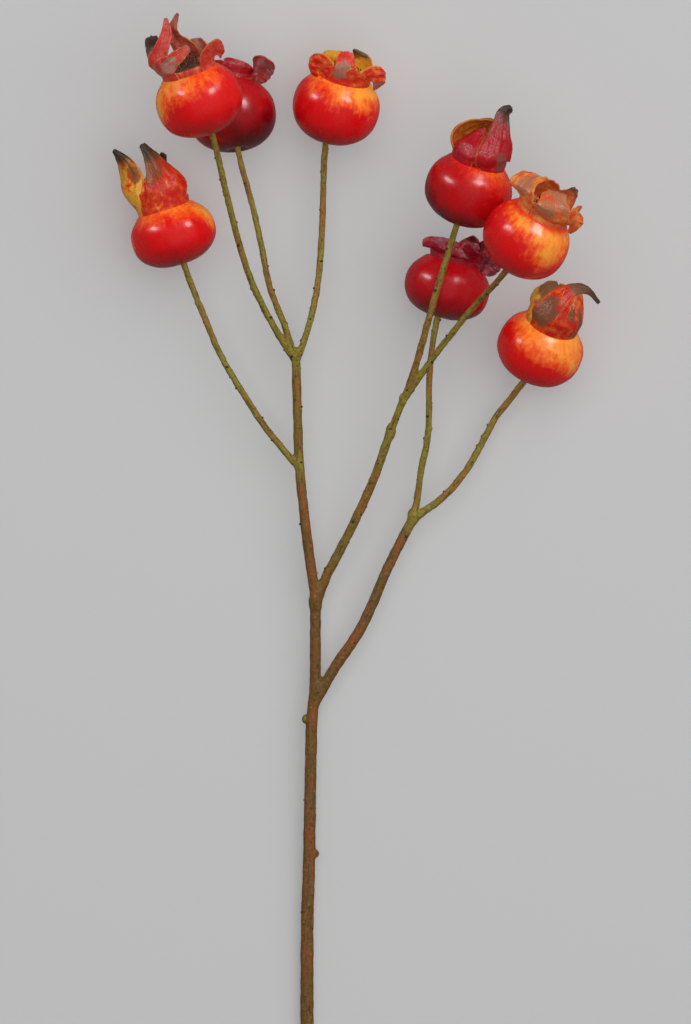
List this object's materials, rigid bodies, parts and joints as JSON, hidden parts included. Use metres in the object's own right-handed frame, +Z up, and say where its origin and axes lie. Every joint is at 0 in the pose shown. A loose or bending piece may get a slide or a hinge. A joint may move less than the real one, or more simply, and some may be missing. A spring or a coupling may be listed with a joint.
{
  "type": "rose hip sprig",
  "caption": "Cut sprig of ripe rose hips lying on a surface: flattened round hips, each with a collar of dried sepals, on a branched woody stem.",
  "frame": {"origin": "on the surface that the sprig rests on, under the middle of its bounding box", "axes": "+Y along the stem, from its cut end towards the hips; +X to the right as seen from above; +Z up from the surface"},
  "size_m": [0.1516, 0.3334, 0.0615],
  "materials": {
    "hip_skin_red": "glossy, waxy skin",
    "hip_skin_crimson": "glossy, waxy skin",
    "calyx_skin": "satin, leathery, browned at the tips",
    "dry_stamens": "dull, dry",
    "stem_bark": "satin, smooth bark"
  },
  "bodies": {
    "root": {"stem": "stem_bark", "hip_1": "hip_skin_red", "hip_2": "hip_skin_red", "hip_3": "hip_skin_crimson", "hip_4": "hip_skin_red", "hip_5": "hip_skin_crimson", "hip_6": "hip_skin_red", "hip_7": "hip_skin_crimson", "hip_8": "hip_skin_red", "calyx_1": "calyx_skin", "calyx_2": "calyx_skin", "calyx_3": "calyx_skin", "calyx_4": "calyx_skin", "calyx_5": "calyx_skin", "calyx_6": "calyx_skin", "calyx_7": "calyx_skin", "calyx_8": "calyx_skin", "stamens_1": "dry_stamens", "stamens_2": "dry_stamens", "stamens_3": "dry_stamens", "stamens_4": "dry_stamens", "stamens_5": "dry_stamens", "stamens_6": "dry_stamens", "stamens_7": "dry_stamens", "stamens_8": "dry_stamens"}
  },
  "joints": []
}
